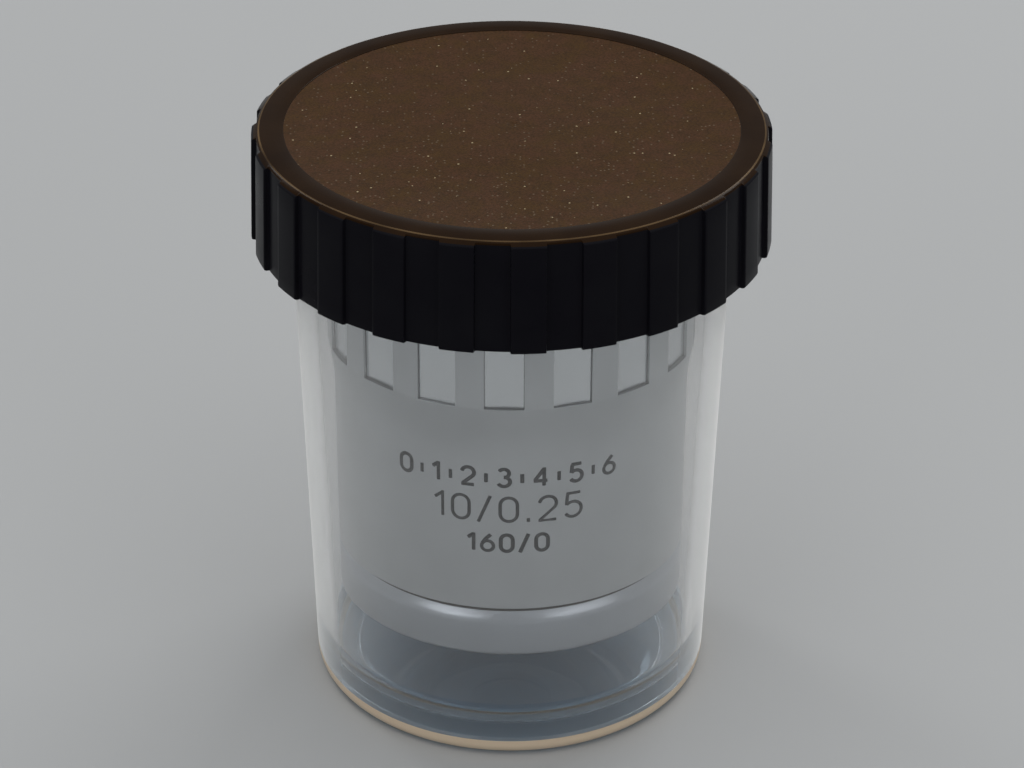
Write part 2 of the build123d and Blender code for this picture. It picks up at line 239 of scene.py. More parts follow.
def turned(name, outline, around=AROUND, ripple=None):
    """The closed solid that an outline makes when it is turned about the optical axis."""
    points, rings, faces = [], [], []
    for radius, height in outline:
        ring = []
        for step in range(around if radius > 1e-6 else 1):
            angle = 2 * pi * step / around
            out = radius + (ripple(angle, radius, height) if ripple else 0)
            ring.append(len(points))
            points.append((out * cos(angle), out * sin(angle), height))
        rings.append(ring)
    for index, ring in enumerate(rings):
        after = rings[(index + 1) % len(rings)]
        if len(ring) == 1 and len(after) == 1:
            continue
        for step in range(around):
            a, b = ring[step % len(ring)], ring[(step + 1) % len(ring)]
            c, d = after[(step + 1) % len(after)], after[step % len(after)]
            faces.append([corner for corner in dict.fromkeys((a, b, c, d))])
    return new_mesh(name, points, faces)


# Geometry Nodes


def geometry_tree(name, inputs):
    """An empty tree with its own geometry in and out, and further named inputs."""
    tree = bpy.data.node_groups.new(name, "GeometryNodeTree")
    tree.interface.new_socket("Geometry", in_out="INPUT", socket_type="NodeSocketGeometry")
    for label, kind in inputs:
        tree.interface.new_socket(label, in_out="INPUT", socket_type=kind)
    tree.interface.new_socket("Geometry", in_out="OUTPUT", socket_type="NodeSocketGeometry")
    return tree, tree.nodes.new("NodeGroupInput"), tree.nodes.new("NodeGroupOutput")


def add_node(tree, kind, inputs=None, **settings):
    """A node with its settings, and its inputs linked or set."""
    node = tree.nodes.new(kind)
    for key, value in settings.items():
        setattr(node, key, value)
    for key, value in (inputs or {}).items():
        if isinstance(value, bpy.types.NodeSocket):
            tree.links.new(value, node.inputs[key])
        else:
            node.inputs[key].default_value = value
    return node


def swept(tree, path, sides, radius):
    """A round section swept along a path, as real geometry."""
    section = add_node(tree, "GeometryNodeCurvePrimitiveCircle", {"Resolution": sides, "Radius": radius})
    inputs = {"Curve": path.outputs[0], "Profile Curve": section.outputs[0], "Fill Caps": True}
    sweep = add_node(tree, "GeometryNodeCurveToMesh", inputs)
    return add_node(tree, "GeometryNodeRealizeInstances", {"Geometry": sweep.outputs[0]})


def give_finish(tree, start, end, shape):
    """Ends a tree: the shape with the material that the tree was given."""
    inputs = {"Geometry": shape.outputs[0], "Material": start.outputs["Material"]}
    tree.links.new(add_node(tree, "GeometryNodeSetMaterial", inputs).outputs[0], end.inputs[0])
    return tree


def repeat_tree():
    """Repeats a pitch around the optical axis and joins the copies into one skin."""
    tree, start, end = geometry_tree(
        "repeat around the axis",
        (("Count", "NodeSocketInt"), ("First angle", "NodeSocketFloat"), ("Material", "NodeSocketMaterial")),
    )
    index = add_node(tree, "GeometryNodeInputIndex")
    pitch = add_node(tree, "ShaderNodeMath", {0: 2 * pi, 1: start.outputs["Count"]}, operation="DIVIDE")
    turn = add_node(
        tree,
        "ShaderNodeMath",
        {0: index.outputs[0], 1: pitch.outputs[0], 2: start.outputs["First angle"]},
        operation="MULTIPLY_ADD",
    )
    rotation = add_node(tree, "ShaderNodeCombineXYZ", {"Z": turn.outputs[0]})
    points = add_node(tree, "GeometryNodePoints", {"Count": start.outputs["Count"]})
    copies = add_node(
        tree,
        "GeometryNodeInstanceOnPoints",
        {"Points": points.outputs[0], "Instance": start.outputs["Geometry"], "Rotation": rotation.outputs[0]},
    )
    real = add_node(tree, "GeometryNodeRealizeInstances", {"Geometry": copies.outputs[0]})
    joined = add_node(tree, "GeometryNodeMergeByDistance", {"Geometry": real.outputs[0], "Distance": 2e-6})
    return give_finish(tree, start, end, joined)


def stroke_tree():
    """Sweeps a round section along every stroke path."""
    tree, start, end = geometry_tree(
        "strokes along paths", (("Radius", "NodeSocketFloat"), ("Material", "NodeSocketMaterial"))
    )
    path = add_node(tree, "GeometryNodeMeshToCurve", {"Mesh": start.outputs["Geometry"]})
    return give_finish(tree, start, end, swept(tree, path, 8, start.outputs["Radius"]))


def spiral_tree():
    """A screw thread ridge: a round section swept along a helix."""
    tree, start, end = geometry_tree(
        "thread ridge",
        (
            ("Turns", "NodeSocketFloat"),
            ("Radius", "NodeSocketFloat"),
            ("Height", "NodeSocketFloat"),
            ("Low end", "NodeSocketFloat"),
            ("Section", "NodeSocketFloat"),
            ("Material", "NodeSocketMaterial"),
        ),
    )
    helix = add_node(
        tree,
        "GeometryNodeCurveSpiral",
        {
            "Resolution": 96,
            "Rotations": start.outputs["Turns"],
            "Start Radius": start.outputs["Radius"],
            "End Radius": start.outputs["Radius"],
            "Height": start.outputs["Height"],
        },
    )
    lift = add_node(tree, "ShaderNodeCombineXYZ", {"Z": start.outputs["Low end"]})
    placed = add_node(
        tree, "GeometryNodeTransform", {"Geometry": helix.outputs[0], "Translation": lift.outputs[0]}
    )
    return give_finish(tree, start, end, swept(tree, placed, 10, start.outputs["Section"]))


def grown(name, seed, tree, values):
    """The plain mesh that a tree makes from a seed mesh."""
    carrier = bpy.data.objects.new(name, seed)
    bpy.context.scene.collection.objects.link(carrier)
    modifier = carrier.modifiers.new(tree.name, "NODES")
    modifier.node_group = tree
    for item in tree.interface.items_tree:
        if item.in_out == "INPUT" and item.name in values:
            modifier[item.identifier] = values[item.name]
    seen = bpy.context.evaluated_depsgraph_get()
    mesh = bpy.data.meshes.new_from_object(
        carrier.evaluated_get(seen), preserve_all_data_layers=True, depsgraph=seen
    )
    mesh.name = name
    bpy.data.objects.remove(carrier)
    if not mesh.polygons:
        raise RuntimeError(f"the tree {tree.name} made nothing for {name}")
    return mesh


# Finishes


def new_finish(name, values):
    """A material with constants on its shader's own sockets, and its object coordinates."""
    material = bpy.data.materials.new(name)
    material.use_nodes = True
    tree = material.node_tree
    shader = tree.nodes["Principled BSDF"]
    for label, value in values.items():
        socket = shader.inputs[label]
        socket.default_value = (*value, 1) if socket.type == "RGBA" else value
    place = add_node(tree, "ShaderNodeTexCoord").outputs["Object"]
    return material, tree, shader, place


def noise(tree, place, scale, detail, stretch=(1, 1, 1)):
    """Noise with its scale in cells per metre."""
    spread = add_node(tree, "ShaderNodeMapping", {"Vector": place, "Scale": stretch})
    return add_node(
        tree, "ShaderNodeTexNoise", {"Vector": spread.outputs[0], "Scale": scale, "Detail": detail}
    ).outputs["Fac"]


def cells(tree, place, scale, output):
    """Cells of a pebbled mould surface, with their scale in cells per metre."""
    return add_node(tree, "ShaderNodeTexVoronoi", {"Vector": place, "Scale": scale}).outputs[output]


def between(tree, value, low, high):
    """Noise spread between two numbers."""
    node = add_node(
        tree,
        "ShaderNodeMapRange",
        {"Value": value, "From Min": 0.3, "From Max": 0.7, "To Min": low, "To Max": high},
    )
    return node.outputs[0]


def reckon(tree, operation, *values):
    """One step of arithmetic on a pattern."""
    return add_node(tree, "ShaderNodeMath", dict(enumerate(values)), operation=operation).outputs[0]


def blend(tree, share, low, high):
    """Colour mixed by a share."""
    node = add_node(tree, "ShaderNodeMix", data_type="RGBA")
    for index, value in ((0, share), (6, low), (7, high)):
        if isinstance(value, bpy.types.NodeSocket):
            tree.links.new(value, node.inputs[index])
        else:
            node.inputs[index].default_value = value
    return node.outputs[2]


def bump(tree, shader, height, strength, distance):
    """Surface relief, with its depth in metres."""
    node = add_node(tree, "ShaderNodeBump", {"Height": height, "Strength": strength, "Distance": distance})
    tree.links.new(node.outputs[0], shader.inputs["Normal"])


def from_axis(tree, place):
    """Distance from the optical axis, and height."""
    parts = add_node(tree, "ShaderNodeSeparateXYZ", {"Vector": place})
    flat = add_node(tree, "ShaderNodeCombineXYZ", {"X": parts.outputs["X"], "Y": parts.outputs["Y"]})
    length = add_node(tree, "ShaderNodeVectorMath", {0: flat.outputs[0]}, operation="LENGTH")
    return length.outputs["Value"], parts.outputs["Z"]


def times(tree, one, other):
    """Two masks at once, or the share of a value that a mask lets through."""
    return reckon(tree, "MULTIPLY", one, other)


def rest(tree, mask):
    """Where a mask doesn't hold."""
    return reckon(tree, "SUBTRACT", 1, mask)


def over(tree, value, limit):
    """One where a value in metres is over a limit in millimetres, else nothing."""
    return reckon(tree, "GREATER_THAN", value, limit * MM)


def under(tree, value, limit):
    """One where a value in metres is under a limit in millimetres, else nothing."""
    return reckon(tree, "LESS_THAN", value, limit * MM)


def band(tree, value, low, high):
    """One where a value in metres lies between two limits in millimetres, else nothing."""
    return times(tree, over(tree, value, low), under(tree, value, high))


# Painted shade in the slots' corners and on their ledge
SLOT_SHADE_COLOR = (0.24, 0.25, 0.26, 1)
# Painted shade in the groove between the nose ring and the barrel
GROOVE_SHADE_COLOR = (0.035, 0.03, 0.026, 1)


def satin_metal(name, color, low, high, slots=None):
    """Fine-turned satin metal, with painted shade in the groove. With slots, the milled slot floors are
    rougher and painted lighter, a painted highlight.
    """
    material, tree, shader, place = new_finish(name, {"Metallic": 1.0, "Base Color": color})
    radius, height = from_axis(tree, place)
    rings = noise(tree, place, 1.0, 4, (500, 500, 14000))
    clouds = noise(tree, place, 220, 2)
    shade = blend(tree, between(tree, clouds, 0, 1), (*[part * 0.94 for part in color], 1), (*color, 1))
    rough = between(tree, rings, low, high)
    relief = 0.06
    if slots:
        # The floors are flat, so their radius grows a little towards the slot's sides
        above = over(tree, height, GRIP_Z + 0.05)
        floor = times(tree, band(tree, radius, SLOT_FLOOR - 0.1, SLOT_FLOOR + 0.14), above)
        # Painted highlight: the floors take the lighter slot colour, on top of being rougher as milled flats
        shade = blend(tree, floor, shade, (*slots, 1))
        rough = times(tree, rough, rest(tree, floor))
        rough = reckon(tree, "ADD", rough, times(tree, floor, 0.27))
        relief = times(tree, rest(tree, floor), relief)

        # Painted shade: a fine dark line in the floors' corners along the slot sides, and on the upward ledge
        # at the slots' lower end, which faces the dark cap
        corner = times(tree, band(tree, radius, SLOT_FLOOR + 0.081, SLOT_FLOOR + 0.14), above)
        step = band(tree, height, GRIP_Z - 0.03, GRIP_Z + 0.06)
        ledge = times(tree, band(tree, radius, SLOT_FLOOR - 0.1, GRIP_R - 0.05), step)
        shade = blend(tree, reckon(tree, "MAXIMUM", corner, ledge), shade, SLOT_SHADE_COLOR)
    # Painted shade: the groove between the nose ring and the barrel is coloured dark and made not metallic,
    # so it stays dark at every angle
    around = band(tree, radius, GROOVE_R - 0.2, BARREL_R + 0.02)
    groove = times(tree, around, band(tree, height, NOSE_TOP - 0.08, BARREL_Z + 0.16))
    shade = blend(tree, groove, shade, GROOVE_SHADE_COLOR)
    tree.links.new(rest(tree, groove), shader.inputs["Metallic"])
    tree.links.new(shade, shader.inputs["Base Color"])
    tree.links.new(rough, shader.inputs["Roughness"])
    bump(tree, shader, rings, relief, 0.01 * MM)
    return material


# Painted reflection: the base's bluish tint, for the blue surface that it reflects
BASE_REFLECTION_TINT = (0.58, 0.77, 0.94, 1)
# Painted reflection: warm band on the outside of the foot ring
FOOT_REFLECTION_COLOR = (0.66, 0.53, 0.385, 1)
# Painted contact shadow along the foot's lowest edge
FOOT_SHADOW_COLOR = (0.3, 0.25, 0.2, 1)


def clear_plastic(name, values, footed=False):
    """Clear moulded plastic with faint flow waves. A footed base is tinted bluish as a painted reflection,
    with a painted warm reflection on its foot ring and a painted contact shadow below that.
    """
    material, tree, shader, place = new_finish(name, {"Transmission Weight": 1.0, "IOR": 1.49, **values})
    waves = noise(tree, place, 60, 1)
    rough = between(tree, noise(tree, place, 900, 5), 0.0, 0.05)
    if footed:
        radius, height = from_axis(tree, place)
        outer = over(tree, radius, FOOT_R - 0.45)
        # Painted reflection: a warm, less clear band on the foot ring's outside, for the warm light it
        # reflects
        foot = times(tree, under(tree, height, FOOT_TOP + 0.1), outer)
        # Painted shadow: a darker line along the foot's lowest edge, where it meets the floor
        edge = times(tree, under(tree, height, 0.35), outer)
        shade = blend(tree, edge, blend(tree, foot, BASE_REFLECTION_TINT, FOOT_REFLECTION_COLOR), FOOT_SHADOW_COLOR)

        # The worn underside lets through only part of the light
        underside = times(tree, under(tree, height, RECESS_Z + 0.1), rest(tree, outer))
        clear = reckon(tree, "SUBTRACT", rest(tree, foot), times(tree, underside, 0.4))
        rough = reckon(tree, "ADD", rough, times(tree, foot, 0.3))
        tree.links.new(shade, shader.inputs["Base Color"])
        tree.links.new(clear, shader.inputs["Transmission Weight"])
    tree.links.new(rough, shader.inputs["Roughness"])
    bump(tree, shader, waves, 0.12, 0.2 * MM)
    return material


SIDE_SHEEN_COLOR = (0.006, 0.0058, 0.0078, 1)
RIM_SHEEN_COLOR = (0.019, 0.0085, 0.0026, 1)
RIM_HIGHLIGHT_COLOR = (0.12, 0.075, 0.035, 1)
# Painted glints on the disc, dim and bright
DIM_GLINT_COLOR = (0.12, 0.085, 0.055, 1)
GLINT_COLOR = (0.34, 0.27, 0.16, 1)
PEBBLES = 4200  # cells per metre
GLINT_CELLS = 2600


def cap_plastic(case):
    """Black moulded plastic: satin side, smooth rim with a painted highlight along its outer edge, and a
    pebbled disc with painted glints.
    """
    values = {"IOR": 1.5, "Specular IOR Level": 0.04}
    material, tree, shader, place = new_finish("black moulded cap", values)
    radius, height = from_axis(tree, place)
    top = over(tree, height, CAP_TOP - 0.3)
    disc = times(tree, top, under(tree, radius, CAP_DISC - 0.04))
    # Painted highlight: a warm lighter line along the rim's rounded outer edge
    rim_highlight = times(tree, top, band(tree, radius, CAP_RIM - 0.1, CAP_RIM + 0.05))
    clouds = noise(tree, place, 180, 3)

    # Painted glints: lighter specks on some of the cells, fewer towards the back, standing in for sparkles of
    # light on the pebbled disc
    chance = add_node(tree, "ShaderNodeSeparateColor", {"Color": cells(tree, place, GLINT_CELLS, "Color")})
    centre = reckon(tree, "LESS_THAN", cells(tree, place, GLINT_CELLS, "Distance"), 0.24)
    depth = add_node(tree, "ShaderNodeSeparateXYZ", {"Vector": place}).outputs["Y"]
    rare = reckon(tree, "ADD", times(tree, depth, 7), 0.74)
    dim_glints = times(tree, reckon(tree, "GREATER_THAN", chance.outputs["Red"], rare), centre)
    bright = times(tree, reckon(tree, "GREATER_THAN", chance.outputs["Green"], 0.93), dim_glints)

    # Colours of the side, rim and disc
    side = blend(tree, between(tree, clouds, 0, 1), (*case.side_color, 1), SIDE_SHEEN_COLOR)
    rim = blend(tree, between(tree, clouds, 0, 1), (*case.rim_color, 1), RIM_SHEEN_COLOR)
    # The rim's painted highlight, varied by the clouds
    rim = blend(tree, times(tree, rim_highlight, between(tree, clouds, 0.2, 1)), rim, RIM_HIGHLIGHT_COLOR)
    pebbles = cells(tree, place, PEBBLES, "Distance")
    grain = reckon(tree, "ADD", pebbles, times(tree, noise(tree, place, 700, 3), 0.8))
    red, green, blue = (part * 1.25 for part in case.disc_color)
    patches = between(tree, noise(tree, place, 420, 4), -0.6, 1.4)
    light = blend(tree, patches, (red * 1.1, green * 0.95, blue * 1.1, 1), (red, green, blue * 0.7, 1))
    dark = (*[part * 0.75 for part in case.disc_color], 1)
    face = blend(tree, reckon(tree, "SUBTRACT", grain, 0.3), light, dark)
    # Painted glints, dim and then bright
    face = blend(tree, times(tree, dim_glints, chance.outputs["Blue"]), face, DIM_GLINT_COLOR)
    face = blend(tree, bright, face, GLINT_COLOR)
    tree.links.new(blend(tree, disc, blend(tree, top, side, rim), face), shader.inputs["Base Color"])

    rough = reckon(tree, "ADD", between(tree, clouds, 0.26, 0.36), times(tree, disc, 0.3))
    rough = reckon(tree, "SUBTRACT", rough, times(tree, top, 0.14))
    tree.links.new(rough, shader.inputs["Roughness"])
    bump(tree, shader, times(tree, pebbles, disc), 0.3, 0.05 * MM)
    return material


def plain_finish(name, values, low, high, scale=900, relief=0.1):
    """An even finish with fine variation of its gloss."""
    material, tree, shader, place = new_finish(name, values)
    grain = noise(tree, place, scale, 4)
    tree.links.new(between(tree, grain, low, high), shader.inputs["Roughness"])
    bump(tree, shader, grain, relief, 0.01 * MM)
    return material


# Name, constants, lowest and highest roughness, and for some the scale and strength of the grain
PLAIN_FINISHES = {
    "paint": ("engraving paint", {"Base Color": (0.013, 0.015, 0.02), "Specular IOR Level": 0.1}, 0.5, 0.7),
    "black": ("black oxide", {"Base Color": (0.014, 0.014, 0.016), "Metallic": 0.6}, 0.38, 0.55),
    "mirror": ("polished mirror", {"Base Color": (0.9, 0.9, 0.91), "Metallic": 1.0}, 0.02, 0.06, 400, 0.02),
    "glass": (
        "coated lens glass",
        {"Base Color": (0.93, 0.95, 1.0), "Transmission Weight": 1.0, "IOR": 1.6, "Coat Weight": 0.3},
        0.0,
        0.02,
        300,
        0.02,
    ),
}
WALL_SHEEN = {
    "Base Color": (1, 1, 1),
    "Sheen Weight": 1.0,
    "Sheen Roughness": 0.5,
    "Sheen Tint": (1, 1, 0.98),
}
finishes = {}


def make_finish(name):
    """A new material, with the colours of the settings."""
    settings = bpy.context.scene.cased_objective
    metal, nose, slots = (getattr(settings.objective, f"{part}_color") for part in ("metal", "nose", "slot"))
    metals = {
        "satin": ("satin chrome", metal, 0.3, 0.4),
        # The nose ring's darker, bluer colour is painted shade and reflection
        "satin_nose_shaded": ("satin chrome of the nose", nose, 0.3, 0.4),
        "satin_slots": ("satin chrome with bright slots", metal, 0.3, 0.4, slots),
        "brass": ("turned brass", (0.78, 0.58, 0.28), 0.24, 0.36),
    }
    if name in PLAIN_FINISHES:
        return plain_finish(*PLAIN_FINISHES[name])
    if name in metals:
        return satin_metal(*metals[name])
    if name == "cap":
        return cap_plastic(settings.case)
    if name == "clear_base":
        return clear_plastic("clear plastic of the base", {}, footed=True)
    return clear_plastic("clear plastic of the wall", WALL_SHEEN)


def finish(name):
    """The finished material of a name, made on first use."""
    if name not in finishes:
        finishes[name] = make_finish(name)
    return finishes[name]


# Case


def neck_ridge(case):
    """Screw thread on the jar's neck, as the height to add to its radius."""
    pitch, crest = case.thread_pitch / MM, case.thread_crest / MM
    low, turns, half, fade = 48.2, 1.3, 0.75, 0.06  # foot of the ridge, turns, half its width, ends in turns

    def height(angle, radius, at):
        if radius < NECK_R - 0.2:
            return 0.0
        best = 0.0
        for lap in (0, 1):
            turn = angle / (2 * pi) + lap
            if turn <= turns:
                rise = max(0.0, 1 - abs(at - low - pitch * turn) / half)
                ends = min(1.0, turn / fade, (turns - turn) / fade)
                best = max(best, crest * min(1.0, 1.6 * rise) * ends)
        return best

    return height


class OBJECTIVE_OT_jar(bpy.types.Operator):
    """Clear jar with its tapered wall, foot ring and threaded neck"""

    bl_idname = "objective.jar"
    bl_label = "Jar"

    def execute(self, context):
        case = context.scene.cased_objective.case
        neck = [(NECK_R, SHOULDER_Z + 0.6 + 0.2 * step, 0) for step in range(30)]
        outside = [
            (FOOT_R + SPREAD * height / SHOULDER_Z, height, 0)
            for height in (1.3, 1.7, 2.2, 4, 8, 16, 24, 32, 40, 44, 45.6, 46)
        ]
        inside = [
            (WELL_R + SPREAD * (height - WELL_Z) / (SHOULDER_Z - WELL_Z), height, 0)
            for height in (44, 40, 32, 24, 16, 8, 6.4, 5.9, 5.6)
        ]
        outline = rounded(
            [
                (0, RECESS_Z, 0),
                (RECESS_R - 0.5, RECESS_Z, 0.3),
                (RECESS_R, 0, 0.3),
                (FOOT_R, 0, 1.2),
                *outside,
                (FOOT_R + SPREAD, SHOULDER_Z, 0.3),
                (NECK_R, SHOULDER_Z + 0.45, 0.1),
                *neck,
                (NECK_R, JAR_RIM, 0.35),
                (WELL_R + SPREAD, JAR_RIM, 0.35),
                (WELL_R + SPREAD, SHOULDER_Z, 1.2),
                *inside,
                (WELL_R, WELL_Z, 3.4),
                (12, WELL_Z, 0),
                (6, WELL_Z, 0),
                (0, WELL_Z, 0),
            ],
            8,
        )
        mesh = turned("case_jar_clear", outline, 240, neck_ridge(case))
        mesh.materials.append(finish("clear"))
        mesh.materials.append(finish("clear_base"))
        for face in mesh.polygons:
            limit = BASE_TOP if face.center.xy.length < (WELL_R + 0.3) * MM else FOOT_TOP
            face.material_index = int(face.center.z < limit * MM)
        new_piece("jar_clear", mesh, finish("clear"), "jar", ["case_jar"], 40)
        return {"FINISHED"}


def cap_column(lobe, lobe_height):
    """Outline of the cap from the middle of its top to that of its roof, on a lobe (1) or off it (0)."""
    slope = tan(CAP_DRAFT)
    top_r = CAP_GAP - (CAP_TOP - CAP_EDGE) * slope + lobe_height * lobe
    drop = 0.42 * (top_r - CAP_RIM) / 0.65  # the rim's bevel falls 0.42 in 0.65
    rows = [
        (0, DISC_Z - 0.12),
        (0.35, DISC_Z - 0.1),
        (0.47, DISC_Z - 0.02),
        (0.6, DISC_Z),
        (0.9, DISC_Z),
        (CAP_DISC * 0.5, DISC_Z),
        (CAP_DISC - 0.12, DISC_Z),
        (CAP_DISC - 0.03, CAP_TOP - 0.07),
        (CAP_DISC, CAP_TOP - 0.02),
        (CAP_DISC + 0.05, CAP_TOP),
        (21.5, CAP_TOP),
        (CAP_RIM - 0.12, CAP_TOP),
        (CAP_RIM - 0.03, CAP_TOP - 0.015),
        (CAP_RIM + 0.05, CAP_TOP - 0.06),
        (top_r - 0.06, CAP_TOP - drop + 0.035),
        (top_r - 0.015, CAP_TOP - drop - 0.02),
        (top_r, CAP_TOP - drop - 0.08),
    ]
    for height in (53.6, 51.4, 49.2, 47.2, CAP_EDGE + 0.2):
        rows.append((CAP_GAP - (height - CAP_EDGE) * slope + lobe_height * lobe, height))
    rows += [
        (CAP_GAP + lobe_height * lobe - 0.04, CAP_EDGE + 0.06),
        (CAP_GAP + lobe_height * lobe - 0.15, CAP_EDGE),
        (CAP_BORE + 0.15, CAP_EDGE),
        (CAP_BORE, CAP_EDGE + 0.15),
        (CAP_BORE, CAP_ROOF),
        (BOSS_R, CAP_ROOF),
        (BOSS_R, BOSS_END + 0.1),
        (BOSS_R - 0.1, BOSS_END),
        (BOSS_BORE + 0.1, BOSS_END),
        (BOSS_BORE, BOSS_END + 0.1),
        (BOSS_BORE, CAP_ROOF),
        (0, CAP_ROOF),
    ]
    return rows


class OBJECTIVE_OT_cap(bpy.types.Operator):
    """Screw cap: one pitch of the lobed skin, repeated around the axis, and the thread inside"""

    bl_idname = "objective.cap"
    bl_label = "Cap"

    def execute(self, context):
        case = context.scene.cased_objective.case

        # Columns across a pitch, as angle in degrees and share of the lobe's height
        half = 180 / case.lobe_count
        edge = half / 2
        flank = ((-0.18, 1), (-0.09, 0.93), (-0.04, 0.7), (0.0, 0.5), (0.03, 0.22), (0.08, 0.05), (0.16, 0))
        right = [(0, 1), (edge * 0.4, 1), (edge * 0.8, 1)] + [(edge + step, lobe) for step, lobe in flank]
        right += [(edge + (half - edge) * share, 0) for share in (0.25, 0.5, 0.75, 1)]
        columns = [(-angle, lobe) for angle, lobe in reversed(right[1:])] + right
        points, faces = [], []
        for angle, lobe in columns:
            for radius, height in cap_column(lobe, case.lobe_height / MM):
                points.append((radius * cos(radians(angle)), radius * sin(radians(angle)), height))
        rows = len(points) // len(columns)
        for column in range(len(columns) - 1):
            for row in range(rows - 1):
                a = column * rows + row
                quad = (a, a + 1, a + rows + 1, a + rows)
                if row == 0:
                    quad = (a, a + 1, a + rows + 1)
                elif row == rows - 2:
                    quad = (a, a + 1, a + rows)
                faces.append(quad)
        seed = new_mesh("cap_pitch", points, faces, solid=False)
        values = {
            "Count": case.lobe_count,
            "First angle": FRONT + case.lobe_phase,
            "Material": finish("cap"),
        }
        mesh = outward(grown("cap_black", seed, repeat_tree(), values))
        new_piece("cap_black", mesh, finish("cap"), "cap", ["case_cap"], 40)

        turns = 1.4
        values = {
            "Turns": turns,
            "Radius": (CAP_BORE + 0.05) * MM,
            "Height": case.thread_pitch * turns,
            "Low end": 47.3 * MM,
            "Section": 0.5 * MM,
            "Material": finish("cap"),
        }
        mesh = grown("cap_thread", bpy.data.meshes.new("empty"), spiral_tree(), values)
        new_piece("cap_thread", outward(mesh), finish("cap"), "cap", (), 60)
        return {"FINISHED"}


def outward(mesh):
    """The mesh with its faces turned outwards."""
    shape = bmesh.new()
    shape.from_mesh(mesh)
    bmesh.ops.recalc_face_normals(shape, faces=shape.faces)
    shape.to_mesh(mesh)
    shape.free()
    return mesh


# Objective


def barrel_radius(height):
    """Radius of the barrel's outside, easing into the flare below the grip ring."""
    soft = 1.2
    past = min(max(height - FLARE_Z + soft, 0), 2 * soft)
    climb = past**2 / (4 * soft) + max(height - FLARE_Z - soft, 0)
    bevel = max(height - (BARREL_TOP - 0.4), 0)
    return min(BARREL_R + (GRIP_R - BARREL_R) * climb / (GRIP_Z - FLARE_Z), GRIP_R) - bevel


class OBJECTIVE_OT_barrel(bpy.types.Operator):
    """Outer barrel: one pitch of the sleeve with its milled slot, repeated around the axis"""

    bl_idname = "objective.barrel"
    bl_label = "Outer barrel"

    def execute(self, context):
        settings = context.scene.cased_objective.objective
        half = settings.slot_width / MM / 2
        pitch = 2 * pi / settings.slot_count
        across = [half * share for share in (-1, -0.5, 0, 0.5, 1)]
        land = (0.08, 0.25, 0.5, 0.75, 0.92, 1)
        points, faces = [], []

        def point(radius, angle, height):
            points.append((radius * cos(angle), radius * sin(angle), height))
            return len(points) - 1

        def row(radius, height):
            """One row of points round the pitch: over the slot, then over the land to the next slot."""
            slot = [point(radius, asin(offset / radius), height) for offset in across]
            first, last = asin(half / radius), pitch + asin(-half / radius)
            return slot + [point(radius, first + (last - first) * share, height) for share in land]

        def floor_row(height):
            """One row of points across the flat floor of the slot."""
            reach = [sqrt(SLOT_FLOOR**2 + offset**2) for offset in across]
            return [point(radius, asin(offset / radius), height) for radius, offset in zip(reach, across)]

        def skin(rows):
            """Faces between rows of points, each with the next."""
            for below, above in zip(rows, rows[1:]):
                for index in range(len(below) - 1):
                    faces.append((below[index], below[index + 1], above[index + 1], above[index]))

        # Outside below the grip ring, and then its lands, slot floors and slot sides
        low = [BARREL_Z + 0.2, BARREL_Z + 0.4, 20, 27] + [FLARE_Z + 0.3 * step for step in range(-4, 5)]
        low += [GRIP_Z - below for below in (1.5, 0.6, 0.2, 0)]
        high = [GRIP_Z + above for above in (0, 0.2, 1, 3, 6)]
        high += [BARREL_TOP - below for below in (0.6, 0.4, 0.2, 0)]
        plain = [row(BARREL_R - 0.2, BARREL_Z)] + [row(barrel_radius(height), height) for height in low]
        grip = [plain[-1]] + [row(barrel_radius(height), height) for height in high[1:]]
        floors = [floor_row(height) for height in high]
        skin(plain)
        skin([level[4:] for level in grip])
        skin(floors)
        for index in range(len(high) - 1):
            left, right = (grip[index][0], grip[index + 1][0]), (grip[index][4], grip[index + 1][4])
            faces.append((*left, floors[index + 1][0], floors[index][0]))
            faces.append((right[0], floors[index][4], floors[index + 1][4], right[1]))
        skin([floors[0], grip[0][:5]])

        # Bore, and the two ends that join it to the outside
        bore = (
            (BARREL_BORE, BARREL_Z),
            (BARREL_BORE, SPIGOT_Z + 0.2),
            (BARREL_BORE - 0.7, SPIGOT_Z + 0.2),
            (BARREL_BORE - 0.7, PLATE_SEAT),
            (BARREL_BORE, PLATE_SEAT),
            (BARREL_BORE, BARREL_TOP),
        )
        inner = [row(radius, height) for radius, height in bore]
        skin(inner)
        skin([plain[0], inner[0]])
        skin([floors[-1], inner[-1][:5]])
        skin([grip[-1][4:], inner[-1][4:]])

        seed = new_mesh("barrel_pitch", points, faces, solid=False)
        look = finish("satin_slots")
        values = {
            "Count": settings.slot_count,
            "First angle": FRONT + settings.slot_phase,
            "Material": look,
        }
        mesh = outward(grown("barrel_satin", seed, repeat_tree(), values))
        new_piece("barrel_satin", mesh, look, "objective", ["outer_barrel"], 20)
        return {"FINISHED"}


def arc(x, y, wide, high, first, last, steps=14):
    """Points of an elliptical arc, angles in degrees."""
    turns = [radians(first + (last - first) * step / steps) for step in range(steps + 1)]
    return [(x + wide * cos(turn), y + high * sin(turn)) for turn in turns]


